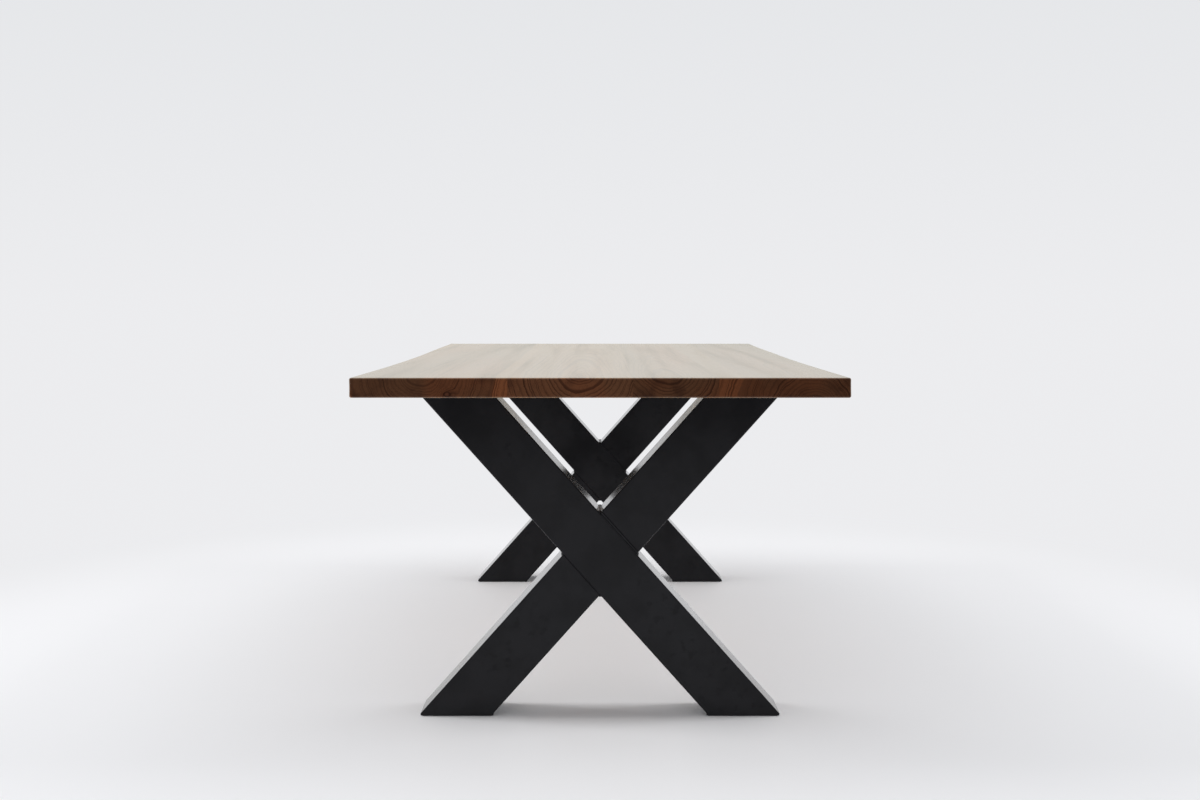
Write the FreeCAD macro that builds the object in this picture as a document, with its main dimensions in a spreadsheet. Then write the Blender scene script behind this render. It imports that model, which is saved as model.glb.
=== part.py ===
import FreeCAD, Part
import enum
import itertools
import math
import os
import Sketcher

# A sawbuck table: four glued hardwood boards, bolted to two welded X frames of square steel tube.
# Lengths are in millimetres. +Z is up from the floor, +Y runs along the table from its front end to
# its rear end, and the origin is on the floor under the middle of the top. Each frame is drawn about
# the XZ plane and is then placed near one end of the top.

OUTPUT_FOLDER = "parts"
SHEET = "sizes"

# Driving dimensions: name, value, what it measures.
DIMENSIONS = (
    ("table_height", 760, "floor to the surface of the top"),
    ("top_length", 2400, "front end to rear end"),
    ("top_thickness", 40, "all four boards"),
    ("arris_radius", 4, "rounding of the edges of the top"),
    ("board_left_width", 336, "glue line to the widest point of the left live edge"),
    ("board_centre_left_width", 250, "glue line to glue line"),
    ("board_centre_right_width", 171, "glue line to glue line"),
    ("board_right_width", 283, "glue line to the widest point of the right live edge"),
    ("left_inset_1", 20, "left live edge, in from its widest point, at the front end"),
    ("left_inset_2", 28, "left live edge, second control point"),
    ("left_inset_3", 27, "left live edge, third control point"),
    ("left_inset_4", 20, "left live edge, fourth control point"),
    ("left_inset_5", 6, "left live edge, fifth control point"),
    ("right_inset_1", 20, "right live edge, in from its widest point, at the front end"),
    ("right_inset_2", 25, "right live edge, second control point"),
    ("right_inset_3", 27, "right live edge, third control point"),
    ("right_inset_4", 15, "right live edge, fourth control point"),
    ("right_inset_5", 14, "right live edge, fifth control point"),
    ("frame_end_inset", 300, "end of the top to the outer face of a frame"),
    ("frame_side_inset", 125, "widest point of the top to the foot of a frame, sideways"),
    ("tube_width", 120, "face of the tube that shows from the end of the table"),
    ("tube_depth", 120, "the tube along the table"),
    ("tube_wall", 2, "wall thickness"),
    ("tube_corner_radius", 3, "outer corners of the tube"),
    ("tube_inner_radius", 1, "inner corners of the tube"),
    ("weld_leg", 6, "fillet welds in the inner corners of the X"),
    ("seam_recess", 0.3, "seam welds, below the faces of the tubes"),
    ("seam_depth", 0.8, "seam welds, thickness"),
    ("plate_thickness", 8, "steel plate on top of a frame"),
    ("plate_margin", 10, "plate past the tube, along the table"),
    ("plate_corner_radius", 12, "corners of the plate"),
    ("foot_plate_thickness", 4, "closing plate of a foot"),
    ("glide_thickness", 2, "felt under a foot"),
    ("glide_inset", 3, "felt inside the rim of the closing plate"),
    ("bolt_row_spacing", 80, "between the two rows of bolts of a frame"),
    ("bolt_inner_offset", 130, "inner bolts, from the middle of the table"),
    ("bolt_tube_gap", 13, "washers of the outer bolts to the tubes"),
    ("bolt_end_distance", 25, "outer bolts, from the end of the plate"),
    ("bolt_diameter", 8, "thread of the bolts"),
    ("bolt_engagement", 16, "bolt inside its threaded insert"),
    ("bolt_head_diameter", 14, "rim of the button head"),
    ("bolt_head_height", 4.4, "button head"),
    ("bolt_head_flat", 9, "flat face of the button head"),
    ("socket_width", 5, "hexagon socket, across its flats"),
    ("socket_depth", 2.6, "hexagon socket"),
    ("slot_length", 20, "slots in the plate, end to end, across the grain of the boards"),
    ("slot_clearance", 1, "slot width over the bolt"),
    ("washer_diameter", 24, "outside"),
    ("washer_thickness", 2, "washers"),
    ("washer_clearance", 0.4, "washer hole over the bolt"),
    ("insert_diameter", 12, "threaded insert, outside"),
    ("insert_length", 25, "threaded insert"),
    ("insert_clearance", 0.1, "insert in its hole, all round"),
    ("insert_hole_spare", 2, "hole deeper than the insert"),
    ("thread_clearance", 0.1, "bolt in its insert, all round"),
)

# Dimensions that follow from the driving ones: name, formula.
DERIVED = (
    ("underside", "{table_height} - {top_thickness}"),
    ("front_end", "-{top_length} / 2"),
    ("rear_end", "{top_length} / 2"),
    ("top_width", "{board_left_width} + {board_centre_left_width}"
                  " + {board_centre_right_width} + {board_right_width}"),
    ("left_side", "-{top_width} / 2"),
    ("right_side", "{top_width} / 2"),
    ("seam_left", "{left_side} + {board_left_width}"),
    ("seam_centre", "{seam_left} + {board_centre_left_width}"),
    ("seam_right", "{seam_centre} + {board_centre_right_width}"),
    ("frame_place", "{top_length} / 2 - {frame_end_inset} - {tube_depth} / 2"),
    # The tubes stand on the foot plates and carry the top plate. The crossing is halfway up.
    ("leg_foot", "{glide_thickness} + {foot_plate_thickness}"),
    ("leg_head", "{underside} - {plate_thickness}"),
    ("leg_rise", "{leg_head} - {leg_foot}"),
    ("crossing", "({leg_foot} + {leg_head}) / 2"),
    # The slope at which a tube of this width, cut level at both ends, fills the frame's width.
    ("frame_width", "{top_width} - 2 * {frame_side_inset}"),
    ("leg_angle", "atan({leg_rise} / {frame_width})"
                  " + asin({tube_width} / sqrt({frame_width}^2 + {leg_rise}^2))"),
    # Half of a tube's level cut, half of its upright cut, and its axis at the foot, from the middle.
    ("half_cut", "{tube_width} / (2 * sin({leg_angle}))"),
    ("half_drop", "{tube_width} / (2 * cos({leg_angle}))"),
    ("foot_place", "{frame_width} / 2 - {half_cut}"),
    # The same cuts of the hollow inside a tube.
    ("bore_width", "{tube_width} - 2 * {tube_wall}"),
    ("bore_depth", "{tube_depth} - 2 * {tube_wall}"),
    ("half_bore", "{bore_width} / (2 * sin({leg_angle}))"),
    ("mouth_near", "({half_cut} - {half_bore}) / 2"),
    ("mouth_far", "({half_cut} + {half_bore}) / 2"),
    ("slope", "tan({leg_angle})"),
    # Welds: the run along a tube's face, and the groove beside a rounded corner at the seam's root.
    ("weld_across", "{weld_leg} * cos({leg_angle})"),
    ("weld_up", "{weld_leg} * sin({leg_angle})"),
    ("weld_length", "{tube_depth} - 2 * {tube_corner_radius}"),
    ("corner_across", "{tube_corner_radius} * cos({leg_angle})"),
    ("corner_up", "{tube_corner_radius} * sin({leg_angle})"),
    ("seam_root", "{tube_corner_radius} - {seam_recess} - {seam_depth}"),
    ("seam_width", "{tube_corner_radius} - sqrt({tube_corner_radius}^2 - {seam_root}^2)"),
    ("seam_across", "{seam_width} * sin({leg_angle})"),
    ("seam_up", "{seam_width} * cos({leg_angle})"),
    ("seam_face", "{tube_depth} / 2 - {seam_recess}"),
    # The plate, and the bolts that hold the top to it.
    ("bolt_outer_offset", "{frame_width} / 2 + {bolt_tube_gap} + {washer_diameter} / 2"),
    ("bolt_row", "{bolt_row_spacing} / 2"),
    ("plate_half_length", "{bolt_outer_offset} + {bolt_end_distance}"),
    ("plate_half_width", "{tube_depth} / 2 + {plate_margin}"),
    ("bolt_radius", "{bolt_diameter} / 2"),
    ("bolt_seat", "{leg_head} - {washer_thickness}"),
    ("bolt_bottom", "{bolt_seat} - {bolt_head_height}"),
    ("bolt_tip", "{underside} + {bolt_engagement}"),
    ("slot_radius", "({bolt_diameter} + {slot_clearance}) / 2"),
    ("slot_travel", "{slot_length} / 2 - {slot_radius}"),
    ("insert_radius", "{insert_diameter} / 2"),
    ("insert_hole_depth", "{insert_length} + {insert_hole_spare}"),
)

LIVE_EDGE_INSETS = 5
SPLINE_DEGREE = 3
SPLINE_WEIGHT = 1
BOLT_COLUMNS_PER_SIDE = 2
SOCKET_SIDES = 6
FULL_TURN = 360
UPWARDS = FreeCAD.Vector(0, 0, 1)
TOLERANCE = 0.001


class Vertex(enum.IntEnum):
    """The vertices of a piece of geometry in a sketch: the ends of a line or an arc, and a centre."""
    START = 1
    END = 2
    CENTRE = 3


# The origin of a sketch, as geometry and vertex.
SKETCH_ORIGIN = (-1, Vertex.START)

doc = FreeCAD.newDocument("sawbuck_table")
sheet = doc.addObject("Spreadsheet::Sheet", SHEET)
formulas = {}
subparts = []


def fill_sheet():
    """Writes the driving dimensions to the sheet and makes every name known to formula()."""
    for row, (name, value, note) in enumerate(DIMENSIONS, start=1):
        sheet.set("A%d" % row, note)
        sheet.set("B%d" % row, str(value))
        sheet.setAlias("B%d" % row, name)
        formulas[name] = SHEET + "." + name
    for name, text in DERIVED:
        formulas[name] = "(" + text.format(**formulas) + ")"
    doc.recompute()


def formula(text):
    """Turns a text with {names} into an expression on the cells of the sheet."""
    return text.format(**formulas)


def value_of(text):
    """The present value of a formula."""
    return float(sheet.evalExpression(formula(text)))


def point_of(place):
    """The present place of an (x, y) pair of formulas in a sketch."""
    return FreeCAD.Vector(value_of(place[0]), value_of(place[1]), 0)


def bind(thing, path, text):
    """Ties a property to the sheet."""
    thing.setExpression(path, formula(text))


def add_body(label, place_along="0"):
    """A new sub-part, placed along the table."""
    body = doc.addObject("PartDesign::Body", label)
    body.Label = label
    bind(body, "Placement.Base.y", place_along)
    subparts.append(body)
    return body


def origin_feature(body, role):
    """One of the body's own planes or axes."""
    return next(feature for feature in body.Origin.OriginFeatures if feature.Role == role)


def add_sketch(body, name, plane, offset="0"):
    """A sketch on one of the body's planes, moved along the plane's normal."""
    sketch = body.newObject("Sketcher::SketchObject", body.Name + "_" + name)
    sketch.AttachmentSupport = (origin_feature(body, plane), "")
    sketch.MapMode = "FlatFace"
    bind(sketch, "AttachmentOffset.Base.z", offset)
    return sketch


def constrain(sketch, kind, *items):
    """Adds a constraint. Its last item is a formula that gives its value."""
    text = items[-1]
    index = sketch.addConstraint(Sketcher.Constraint(kind, *items[:-1], value_of(text)))
    bind(sketch, "Constraints[%d]" % index, text)


def pin(sketch, geometry, vertex, place):
    """Ties a vertex of a sketch to an (x, y) pair of formulas."""
    constrain(sketch, "DistanceX", *SKETCH_ORIGIN, geometry, vertex, place[0])
    constrain(sketch, "DistanceY", *SKETCH_ORIGIN, geometry, vertex, place[1])


def join(sketch, first, first_end, second, second_end, kind="Coincident"):
    """Makes two ends meet."""
    sketch.addConstraint(Sketcher.Constraint(kind, first, first_end, second, second_end))


def draw_lines(sketch, places):
    """Lines from place to place, joined end to end."""
    points = [point_of(place) for place in places]
    lines = []
    for start, end in zip(points, points[1:]):
        lines.append(sketch.addGeometry(Part.LineSegment(start, end)))
    for line, following in zip(lines, lines[1:]):
        join(sketch, line, Vertex.END, following, Vertex.START)
    return lines


def draw_polygon(sketch, places):
    """A closed outline with straight sides and pinned corners."""
    lines = draw_lines(sketch, places + places[:1])
    join(sketch, lines[-1], Vertex.END, lines[0], Vertex.START)
    for line, place in zip(lines, places):
        pin(sketch, line, Vertex.START, place)
    return lines


def draw_rectangle(sketch, left, bottom, right, top):
    """A closed outline along the axes of a sketch."""
    return draw_polygon(sketch, [(left, bottom), (right, bottom), (right, top), (left, top)])


def draw_circle(sketch, centre, radius):
    """A circle about a place."""
    circle = sketch.addGeometry(Part.Circle(point_of(centre), UPWARDS, value_of(radius)))
    pin(sketch, circle, Vertex.CENTRE, centre)
    constrain(sketch, "Radius", circle, radius)


def draw_slot(sketch, centre, travel, radius):
    """A slot along the first axis of a sketch: two half circles joined by two lines."""
    arcs = []
    for sign, first_angle in ((" + ", -math.pi / 2), (" - ", math.pi / 2)):
        place = (centre[0] + sign + travel, centre[1])
        circle = Part.Circle(point_of(place), UPWARDS, value_of(radius))
        arcs.append(sketch.addGeometry(Part.ArcOfCircle(circle, first_angle, first_angle + math.pi)))
        pin(sketch, arcs[-1], Vertex.CENTRE, place)
    for arc, following in (arcs, arcs[::-1]):
        line = Part.LineSegment(sketch.getPoint(arc, Vertex.END), sketch.getPoint(following, Vertex.START))
        side = sketch.addGeometry(line)
        join(sketch, arc, Vertex.END, side, Vertex.START, "Tangent")
        join(sketch, side, Vertex.END, following, Vertex.START, "Tangent")
    constrain(sketch, "Radius", arcs[0], radius)


def draw_live_edge(sketch, places):
    """A smooth curve with its control points pinned. Gives the curve."""
    poles = [point_of(place) for place in places]
    spans = len(poles) - SPLINE_DEGREE
    end_count = SPLINE_DEGREE + 1
    curve = Part.BSplineCurve()
    counts = [end_count] + [1] * (spans - 1) + [end_count]
    curve.buildFromPolesMultsKnots(poles, counts, list(range(spans + 1)), False, SPLINE_DEGREE)
    spline = sketch.addGeometry(curve)
    handles = []
    for number, (pole, place) in enumerate(zip(poles, places)):
        handles.append(sketch.addGeometry(Part.Circle(pole, UPWARDS, SPLINE_WEIGHT), True))
        sketch.addConstraint(Sketcher.Constraint(
            "InternalAlignment:Sketcher::BSplineControlPoint", handles[-1], Vertex.CENTRE, spline, number))
        pin(sketch, handles[-1], Vertex.CENTRE, place)
    sketch.addConstraint(Sketcher.Constraint("Weight", handles[0], SPLINE_WEIGHT))
    for handle in handles[1:]:
        sketch.addConstraint(Sketcher.Constraint("Equal", handles[0], handle))
    return spline


def extrude(body, kind, sketch, length, symmetric=False, reverse=False):
    """A Pad or a Pocket of a sketch."""
    feature = body.newObject("PartDesign::" + kind, sketch.Name + "_" + kind.lower())
    feature.Profile = sketch
    bind(feature, "Length", length)
    if symmetric:
        feature.SideType = "Symmetric"
    feature.Reversed = reverse
    doc.recompute()
    return feature


def round_edges(body, base, chosen, radius):
    """Rounds the edges of a feature that the function chosen picks."""
    names = ["Edge%d" % number for number, edge in enumerate(base.Shape.Edges, start=1) if chosen(edge)]
    feature = body.newObject("PartDesign::Fillet", base.Name + "_round")
    feature.Base = (base, names)
    bind(feature, "Radius", radius)
    doc.recompute()
    return feature


def repeat_at_bolts(body, features):
    """Copies features at the inner bolt of one row to all the bolts of a frame."""
    pattern = body.newObject("PartDesign::MultiTransform", body.Name + "_pattern")
    pattern.Originals = features
    outwards = body.newObject("PartDesign::LinearPattern", body.Name + "_outwards")
    outwards.Direction = (origin_feature(body, "X_Axis"), [""])
    outwards.Occurrences = BOLT_COLUMNS_PER_SIDE
    bind(outwards, "Length", "{bolt_outer_offset} - {bolt_inner_offset}")
    steps = [outwards]
    for plane in ("YZ_Plane", "XZ_Plane"):
        mirror = body.newObject("PartDesign::Mirrored", body.Name + "_mirror")
        mirror.MirrorPlane = (origin_feature(body, plane), [""])
        steps.append(mirror)
    pattern.Transformations = steps
    body.Tip = pattern
    doc.recompute()


def is_upright(edge):
    """True for an edge along Z."""
    return edge.BoundBox.XLength < TOLERANCE and edge.BoundBox.YLength < TOLERANCE


def lies_on(edge, seam):
    """True for an edge in the glue line at this place."""
    return all(abs(vertex.X - seam) < TOLERANCE for vertex in edge.Vertexes)


def runs_along(edge, axis, half_depth):
    """True for an edge along an axis, this far from the frame's middle plane."""
    parallel = abs(edge.tangentAt(edge.FirstParameter).dot(axis)) > 1 - TOLERANCE
    return parallel and all(abs(abs(vertex.Y) - half_depth) < TOLERANCE for vertex in edge.Vertexes)


def draw_live_board(outline, outer, inwards, insets, seam):
    """The outline of an outer board: a live edge and the glue line, joined by the two ends."""
    live_edge = []
    for number, inset in enumerate(insets):
        along = "{front_end} + {top_length} * %d / %d" % (number, len(insets) - 1)
        live_edge.append((outer + inwards + inset, along))
    glue_line = [(seam, "{rear_end}"), (seam, "{front_end}")]
    spline = draw_live_edge(outline, live_edge)
    lines = draw_lines(outline, [live_edge[-1]] + glue_line + [live_edge[0]])
    for line, place in zip(lines[1:], glue_line):
        pin(outline, line, Vertex.START, place)
    join(outline, spline, Vertex.END, lines[0], Vertex.START)
    join(outline, lines[-1], Vertex.END, spline, Vertex.START)


def finish_board(body, outline, seams):
    """Gives a board its thickness, its rounded open edges and the holes for the inserts."""
    slab = extrude(body, "Pad", outline, "{top_thickness}")
    glue_lines = [value_of(seam) for seam in seams]

    def is_open(edge):
        return not any(lies_on(edge, seam) for seam in glue_lines)

    round_edges(body, slab, is_open, "{arris_radius}")
    holes = add_sketch(body, "holes", "XY_Plane", "{underside}")
    columns = ("{bolt_inner_offset}", "-{bolt_inner_offset}", "{bolt_outer_offset}", "-{bolt_outer_offset}")
    frames = ("{frame_place}", "-{frame_place}")
    rows = (" + {bolt_row}", " - {bolt_row}")
    for column, frame, row in itertools.product(columns, frames, rows):
        draw_circle(holes, (column, frame + row), "{insert_radius} + {insert_clearance}")
    extrude(body, "Pocket", holes, "{insert_hole_depth}", reverse=True)


def add_outer_board(label, name, outer, inwards, seam):
    """A board with one live edge. Its name picks the insets of that edge."""
    body = add_body(label)
    outline = add_sketch(body, "outline", "XY_Plane", "{underside}")
    insets = ["{%s_inset_%d}" % (name, number + 1) for number in range(LIVE_EDGE_INSETS)]
    draw_live_board(outline, outer, inwards, insets + ["0"], seam)
    finish_board(body, outline, [seam])


def add_inner_board(label, left_seam, right_seam):
    """A board between two glue lines."""
    body = add_body(label)
    outline = add_sketch(body, "outline", "XY_Plane", "{underside}")
    draw_rectangle(outline, left_seam, "{front_end}", right_seam, "{rear_end}")
    finish_board(body, outline, [left_seam, right_seam])


def add_leg(label, place_along, outline, hollow, lean):
    """A length of square tube. The lean is 1 where its axis rises to the right, and -1 to the left."""
    body = add_body(label, place_along)
    axis = FreeCAD.Vector(lean, 0, value_of("{slope}")).normalize()
    profile = add_sketch(body, "outline", "XZ_Plane")
    draw_polygon(profile, outline)
    bar = extrude(body, "Pad", profile, "{tube_depth}", symmetric=True)
    face = value_of("{tube_depth} / 2")
    round_edges(body, bar, lambda edge: runs_along(edge, axis, face), "{tube_corner_radius}")
    bore = add_sketch(body, "bore", "XZ_Plane")
    draw_polygon(bore, hollow)
    tube = extrude(body, "Pocket", bore, "{bore_depth}", symmetric=True)
    inner_face = value_of("{bore_depth} / 2")
    round_edges(body, tube, lambda edge: runs_along(edge, axis, inner_face), "{tube_inner_radius}")


def add_main_leg(label, place_along):
    """The unbroken tube, from the upper left to the lower right."""
    corners = []
    for half in ("{half_cut}", "{half_bore}"):
        corners.append([
            ("{foot_place} - " + half, "{leg_foot}"),
            ("{foot_place} + " + half, "{leg_foot}"),
            ("-{foot_place} + " + half, "{leg_head}"),
            ("-{foot_place} - " + half, "{leg_head}"),
        ])
    add_leg(label, place_along, corners[0], corners[1], lean=-1)


def add_half_leg(label, place_along, side, end):
    """A tube butted on the main leg. Its side is + for the upper right and - for the lower left."""
    outline = [
        ("0", "{crossing} %s {half_drop}" % side),
        ("%s{half_cut}" % side, "{crossing}"),
        ("%s({foot_place} + {half_cut})" % side, end),
        ("%s({foot_place} - {half_cut})" % side, end),
    ]
    hollow = [
        ("%s{mouth_near}" % side, "{crossing} %s {mouth_far} * {slope}" % side),
        ("%s{mouth_far}" % side, "{crossing} %s {mouth_near} * {slope}" % side),
        ("%s({foot_place} + {half_bore})" % side, end),
        ("%s({foot_place} - {half_bore})" % side, end),
    ]
    add_leg(label, place_along, outline, hollow, lean=1)


def add_weld_beads(label, place_along):
    """Fillet welds in the four inner corners, and seam welds in the grooves of the two butt joints."""
    body = add_body(label, place_along)
    corners = add_sketch(body, "corners", "XZ_Plane")
    for side in ("", "-"):
        upright = "{crossing} + %s" % side
        draw_polygon(corners, [
            ("0", upright + "{half_drop}"),
            ("{weld_across}", upright + "({half_drop} + {weld_up})"),
            ("-{weld_across}", upright + "({half_drop} + {weld_up})"),
        ])
        draw_polygon(corners, [
            (side + "{half_cut}", "{crossing}"),
            (side + "({half_cut} + {weld_across})", "{crossing} + {weld_up}"),
            (side + "({half_cut} + {weld_across})", "{crossing} - {weld_up}"),
        ])
    extrude(body, "Pad", corners, "{weld_length}", symmetric=True)
    seams = add_sketch(body, "seams", "XZ_Plane", "{seam_face} - {seam_depth}")
    for side in ("", "-"):
        upright = "{crossing} + %s" % side
        draw_polygon(seams, [
            (side + "{corner_across}", upright + "({half_drop} - {corner_up})"),
            (side + "({half_cut} - {corner_across})", upright + "{corner_up}"),
            (side + "({half_cut} - {corner_across} - {seam_across})", upright + "({corner_up} - {seam_up})"),
            (side + "({corner_across} - {seam_across})", upright + "({half_drop} - {corner_up} - {seam_up})"),
        ])
    run = extrude(body, "Pad", seams, "{seam_depth}")
    mirror = body.newObject("PartDesign::Mirrored", body.Name + "_mirror")
    mirror.Originals = [run]
    mirror.MirrorPlane = (origin_feature(body, "XZ_Plane"), [""])
    body.Tip = mirror
    doc.recompute()


def add_top_plate(label, place_along):
    """The plate that the top lies on, with a slot for each bolt."""
    body = add_body(label, place_along)
    outline = add_sketch(body, "outline", "XY_Plane", "{leg_head}")
    draw_rectangle(outline, "-{plate_half_length}", "-{plate_half_width}",
                   "{plate_half_length}", "{plate_half_width}")
    plate = extrude(body, "Pad", outline, "{plate_thickness}")
    round_edges(body, plate, is_upright, "{plate_corner_radius}")
    slot = add_sketch(body, "slot", "XY_Plane", "{leg_head}")
    draw_slot(slot, ("{bolt_inner_offset}", "{bolt_row}"), "{slot_travel}", "{slot_radius}")
    cut = extrude(body, "Pocket", slot, "{plate_thickness}", reverse=True)
    repeat_at_bolts(body, [cut])


def add_foot_layer(label, place_along, side, level, thickness, inset):
    """A level sheet under the end of a tube, inside its rim by an inset."""
    body = add_body(label, place_along)
    outline = add_sketch(body, "outline", "XY_Plane", level)
    middle = side + "{foot_place}"
    half_length = "({half_cut} - %s)" % inset
    half_width = "({tube_depth} / 2 - %s)" % inset
    draw_rectangle(outline, "%s - %s" % (middle, half_length), "-" + half_width,
                   "%s + %s" % (middle, half_length), half_width)
    layer = extrude(body, "Pad", outline, thickness)
    round_edges(body, layer, is_upright, "{tube_corner_radius}")


def add_ring(label, place_along, level, thickness, outer_radius, inner_radius):
    """A flat ring or a sleeve at each bolt of a frame."""
    body = add_body(label, place_along)
    section = add_sketch(body, "section", "XY_Plane", level)
    for radius in (outer_radius, inner_radius):
        draw_circle(section, ("{bolt_inner_offset}", "{bolt_row}"), radius)
    ring = extrude(body, "Pad", section, thickness)
    repeat_at_bolts(body, [ring])


def add_bolts(label, place_along):
    """Button head bolts, heads down, with a hexagon socket."""
    body = add_body(label, place_along)
    profile = add_sketch(body, "profile", "XZ_Plane", "-{bolt_row}")
    shank = "({bolt_radius} - {thread_clearance})"
    lines = draw_polygon(profile, [
        ("{bolt_inner_offset}", "{bolt_bottom}"),
        ("{bolt_inner_offset} + {bolt_head_flat} / 2", "{bolt_bottom}"),
        ("{bolt_inner_offset} + {bolt_head_diameter} / 2", "{bolt_seat}"),
        ("{bolt_inner_offset} + " + shank, "{bolt_seat}"),
        ("{bolt_inner_offset} + " + shank, "{bolt_tip}"),
        ("{bolt_inner_offset}", "{bolt_tip}"),
    ])
    turned = body.newObject("PartDesign::Revolution", body.Name + "_turned")
    turned.Profile = profile
    turned.ReferenceAxis = (profile, ["Edge%d" % (lines[-1] + 1)])
    turned.Angle = FULL_TURN
    doc.recompute()
    socket = add_sketch(body, "socket", "XY_Plane", "{bolt_bottom}")
    step = FULL_TURN / SOCKET_SIDES
    reach = "{socket_width} / (2 * cos(%g))" % (step / 2)
    corners = []
    for number in range(SOCKET_SIDES):
        across = "{bolt_inner_offset} + %s * cos(%g)" % (reach, number * step)
        along = "{bolt_row} + %s * sin(%g)" % (reach, number * step)
        corners.append((across, along))
    draw_polygon(socket, corners)
    hexagon = extrude(body, "Pocket", socket, "{socket_depth}", reverse=True)
    repeat_at_bolts(body, [turned, hexagon])


def add_top():
    """The four boards, from left to right."""
    add_outer_board("board_left", "left", "{left_side}", " + ", "{seam_left}")
    add_inner_board("board_centre_left", "{seam_left}", "{seam_centre}")
    add_inner_board("board_centre_right", "{seam_centre}", "{seam_right}")
    add_outer_board("board_right", "right", "{right_side}", " - ", "{seam_right}")


def add_frame(name, place_along):
    """One welded X frame with its feet and the hardware that holds the top to it."""
    add_main_leg(name + "_main_leg", place_along)
    add_half_leg(name + "_upper_leg", place_along, "+", "{leg_head}")
    add_half_leg(name + "_lower_leg", place_along, "-", "{leg_foot}")
    add_weld_beads(name + "_weld_beads", place_along)
    add_top_plate(name + "_top_plate", place_along)
    for foot, side in (("left", "-"), ("right", "")):
        add_foot_layer("%s_%s_foot_plate" % (name, foot), place_along, side,
                       "{glide_thickness}", "{foot_plate_thickness}", "0")
        add_foot_layer("%s_%s_glide" % (name, foot), place_along, side,
                       "0", "{glide_thickness}", "{glide_inset}")
    add_bolts(name + "_bolts", place_along)
    add_ring(name + "_washers", place_along, "{bolt_seat}", "{washer_thickness}",
             "{washer_diameter} / 2", "{bolt_radius} + {washer_clearance}")
    add_ring(name + "_threaded_inserts", place_along, "{underside}", "{insert_length}",
             "{insert_radius}", "{bolt_radius}")


def check_and_write():
    """Stops at a failed object or a bad shape, and otherwise writes a file for each sub-part."""
    doc.recompute()
    for item in doc.Objects:
        if "Invalid" in item.State or "Error" in item.State:
            raise RuntimeError("%s failed: %s" % (item.Name, item.getStatusString()))
    for body in subparts:
        if body.Shape.isNull() or not body.Shape.isValid():
            raise RuntimeError("%s has no valid shape" % body.Label)
    os.makedirs(OUTPUT_FOLDER, exist_ok=True)
    for body in subparts:
        body.Shape.exportStep(os.path.join(OUTPUT_FOLDER, body.Label + ".step"))
        cubic_centimetres = body.Shape.Volume / 10 ** 3
        print("%-24s %d solids, %.1f cm3" % (body.Label, len(body.Shape.Solids), cubic_centimetres))


fill_sheet()
add_top()
add_frame("front", "-{frame_place}")
add_frame("rear", "{frame_place}")
check_and_write()
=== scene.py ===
import math
from collections import namedtuple

import bmesh
import bpy
import numpy as np
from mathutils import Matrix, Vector, noise


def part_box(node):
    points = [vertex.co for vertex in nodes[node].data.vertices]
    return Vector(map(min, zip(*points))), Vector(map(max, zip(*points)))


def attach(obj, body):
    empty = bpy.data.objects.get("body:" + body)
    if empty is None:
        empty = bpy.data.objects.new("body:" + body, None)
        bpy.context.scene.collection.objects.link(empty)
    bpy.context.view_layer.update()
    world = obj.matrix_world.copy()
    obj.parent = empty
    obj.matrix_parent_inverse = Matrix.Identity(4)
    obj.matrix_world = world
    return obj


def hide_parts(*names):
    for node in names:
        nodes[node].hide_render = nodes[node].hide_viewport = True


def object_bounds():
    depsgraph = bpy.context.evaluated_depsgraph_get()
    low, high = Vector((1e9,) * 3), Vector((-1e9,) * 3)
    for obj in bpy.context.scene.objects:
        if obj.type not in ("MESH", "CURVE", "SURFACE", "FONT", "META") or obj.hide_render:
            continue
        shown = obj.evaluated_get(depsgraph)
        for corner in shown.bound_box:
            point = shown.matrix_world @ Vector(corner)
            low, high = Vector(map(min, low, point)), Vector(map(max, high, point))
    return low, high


# The looks of a sawbuck table: walnut boards with two live edges on powder-coated X frames.
# Lengths are in metres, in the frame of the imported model: +Z up, +Y from the front end to the rear end.

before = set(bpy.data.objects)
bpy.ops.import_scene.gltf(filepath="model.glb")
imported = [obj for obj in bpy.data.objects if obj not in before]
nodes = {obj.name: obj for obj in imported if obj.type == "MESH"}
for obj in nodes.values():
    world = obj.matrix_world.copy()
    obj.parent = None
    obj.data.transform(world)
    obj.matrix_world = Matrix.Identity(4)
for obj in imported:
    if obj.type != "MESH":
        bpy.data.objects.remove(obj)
cad_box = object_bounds()

MM = 0.001
BODY = "root"
FRAMES = ("front", "rear")
SIDES = ("left", "right")

# A ramp goes smoothly from start to end while what it follows goes from low to high. A pattern is noise
# with its repeats per metre (one number, or one each across, along and up), its ramp and its fineness.
Ramp = namedtuple("Ramp", "low high start end", defaults=(0.0, 1.0))
Pattern = namedtuple("Pattern", "repeats ramp detail", defaults=(2.0,))

# The photograph's camera: in front of the front end, on the middle line of the table, tilted down.
CAMERA_DISTANCE = 3.193
CAMERA_HEIGHT = 0.918
CAMERA_TILT = math.radians(3.62)
LENS_MM = 48.33
SENSOR_MM = 36.0

# The studio: a pale floor that fades into a pale surround, which is a little darker higher up. The
# surround sends out only a share of the light that is seen of it.
HORIZON_COLOUR = (0.840, 0.842, 0.860, 1.0)
SKY_COLOUR = (0.790, 0.800, 0.820, 1.0)
SKY_RISE = 0.18
SURROUND_LIGHT = 0.80
FLOOR_COLOUR = (0.90, 0.90, 0.91, 1.0)
FLOOR_SMUDGE = (0.75, 0.75, 0.77, 1.0)
FLOOR_SMUDGES = Pattern(1.7, Ramp(0.35, 0.70, 0.0, 0.03), 3.0)
FLOOR_ROUGHNESS = 0.55
FLOOR_SPECULAR = 0.15
FLOOR_RADIUS = 60.0
FLOOR_POINTS = 96

# The floor fades by the distance from a point in front of its middle, sooner sideways than lengthways.
FADE = Ramp(1.5, 3.2)
FADE_CENTRE = (0.0, -0.6, 0.0)
FADE_SHAPE = (1.3, 1.0, 0.0)

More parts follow.
